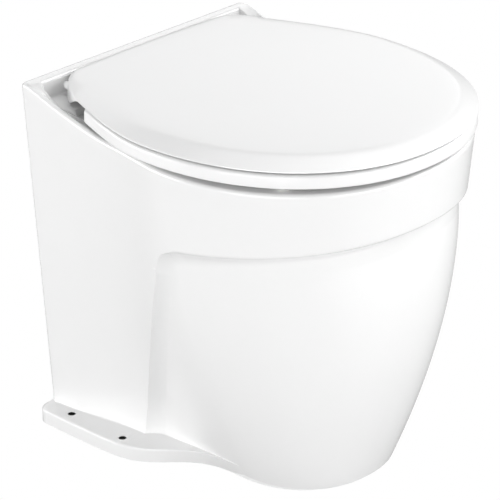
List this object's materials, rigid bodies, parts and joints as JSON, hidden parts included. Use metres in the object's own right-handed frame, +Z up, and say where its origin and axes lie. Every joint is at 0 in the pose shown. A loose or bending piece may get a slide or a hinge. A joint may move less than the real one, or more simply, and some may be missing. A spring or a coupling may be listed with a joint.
{
  "type": "electric marine toilet",
  "caption": "Compact electric marine toilet: china pan with hinged seat and lid, macerator pump, check valve and rinse valve behind an open rear.",
  "frame": {"origin": "on the deck, under the middle of the part's bounding box", "axes": "+Z up, +Y towards the bulkhead behind the pan, -Y towards the user at the front, +X towards the pan's left as a seated user sees it"},
  "size_m": [0.36, 0.3957, 0.3865],
  "materials": {
    "china": "glossy white glaze",
    "seat_plastic": "glossy white moulded plastic",
    "black_rubber": "matt black moulded rubber",
    "stainless_steel": "satin stainless steel",
    "white_nylon": "satin white nylon",
    "black_moulded_plastic": "satin black filled plastic",
    "painted_motor_steel": "satin dark grey paint",
    "ferrite": "matt grey sintered ferrite",
    "varnished_copper": "varnished copper winding",
    "carbon": "matt black carbon"
  },
  "bodies": {
    "pan": {"china_body": "china", "china_bowl": "china", "bowl_outlet_boot": "black_rubber", "shaft_seal": "black_rubber", "rinse_hose": "black_rubber", "hinge_post_left": "stainless_steel", "hinge_post_right": "stainless_steel", "hinge_pin_left": "stainless_steel", "hinge_pin_right": "stainless_steel", "hinge_stud_left": "stainless_steel", "hinge_stud_right": "stainless_steel", "boot_clamp_bowl": "stainless_steel", "boot_clamp_pump": "stainless_steel", "pump_screw_1": "stainless_steel", "pump_screw_2": "stainless_steel", "pump_screw_3": "stainless_steel", "wear_plate": "stainless_steel", "bearing_front": "stainless_steel", "bearing_rear": "stainless_steel", "pump_cradle": "stainless_steel", "motor_strap": "stainless_steel", "plunger_spring": "stainless_steel", "solenoid_stop": "stainless_steel", "hose_clip_valve": "stainless_steel", "hose_clip_nozzle": "stainless_steel", "hinge_spacer_left": "white_nylon", "hinge_spacer_right": "white_nylon", "hinge_nut_left": "white_nylon", "hinge_nut_right": "white_nylon", "rim_nozzle": "white_nylon", "nozzle_nut": "white_nylon", "pump_inlet_cover": "black_moulded_plastic", "pump_housing": "black_moulded_plastic", "check_valve_body": "black_moulded_plastic", "rinse_valve_body": "black_moulded_plastic", "terminal_box": "black_moulded_plastic", "motor_front_cap": "painted_motor_steel", "motor_can": "painted_motor_steel", "motor_rear_cap": "painted_motor_steel", "field_magnet_left": "ferrite", "field_magnet_right": "ferrite", "solenoid_coil": "varnished_copper", "brush_left": "carbon", "brush_right": "carbon"},
    "seat": {"seat_ring": "seat_plastic", "seat_bumper_front_left": "white_nylon", "seat_bumper_front_right": "white_nylon", "seat_bumper_rear_left": "white_nylon", "seat_bumper_rear_right": "white_nylon"},
    "lid": {"seat_lid": "seat_plastic", "lid_bumper_left": "white_nylon", "lid_bumper_right": "white_nylon"},
    "rotor": {"motor_shaft": "stainless_steel", "armature": "varnished_copper", "impeller": "black_moulded_plastic", "chopper_blade": "stainless_steel"},
    "elbow": {"discharge_elbow": "black_moulded_plastic", "elbow_clamp": "stainless_steel"},
    "flap": {"check_valve_flap": "black_rubber"},
    "plunger": {"solenoid_plunger": "stainless_steel"}
  },
  "joints": [
    {"name": "seat_lift", "type": "hinge", "parent": "pan", "child": "seat", "pos_m": [0, 0.169, 0.37], "axis": [1, 0, 0], "range_deg": [-88, 0]},
    {"name": "lid_lift", "type": "hinge", "parent": "seat", "child": "lid", "pos_m": [0, 0.169, 0.37], "axis": [-1, 0, 0], "range_deg": [0, 90]},
    {"name": "motor_spin", "type": "hinge", "parent": "pan", "child": "rotor", "pos_m": [0, 0.12, 0.062], "axis": [0, 1, 0], "continuous": true},
    {"name": "elbow_swivel", "type": "hinge", "parent": "pan", "child": "elbow", "pos_m": [0.022, 0.0948, 0.16], "axis": [0, 0, 1], "range_deg": [-35, 35]},
    {"name": "check_flap", "type": "hinge", "parent": "pan", "child": "flap", "pos_m": [0.022, 0.1113, 0.1291], "axis": [-1, 0, 0], "range_deg": [0, 30]},
    {"name": "plunger_lift", "type": "slide", "parent": "pan", "child": "plunger", "axis": [0, 0, 1], "range_m": [0, 0.003], "stiffness_N_per_m": 60, "springref_m": -0.002, "deforming": ["plunger_spring"]}
  ]
}
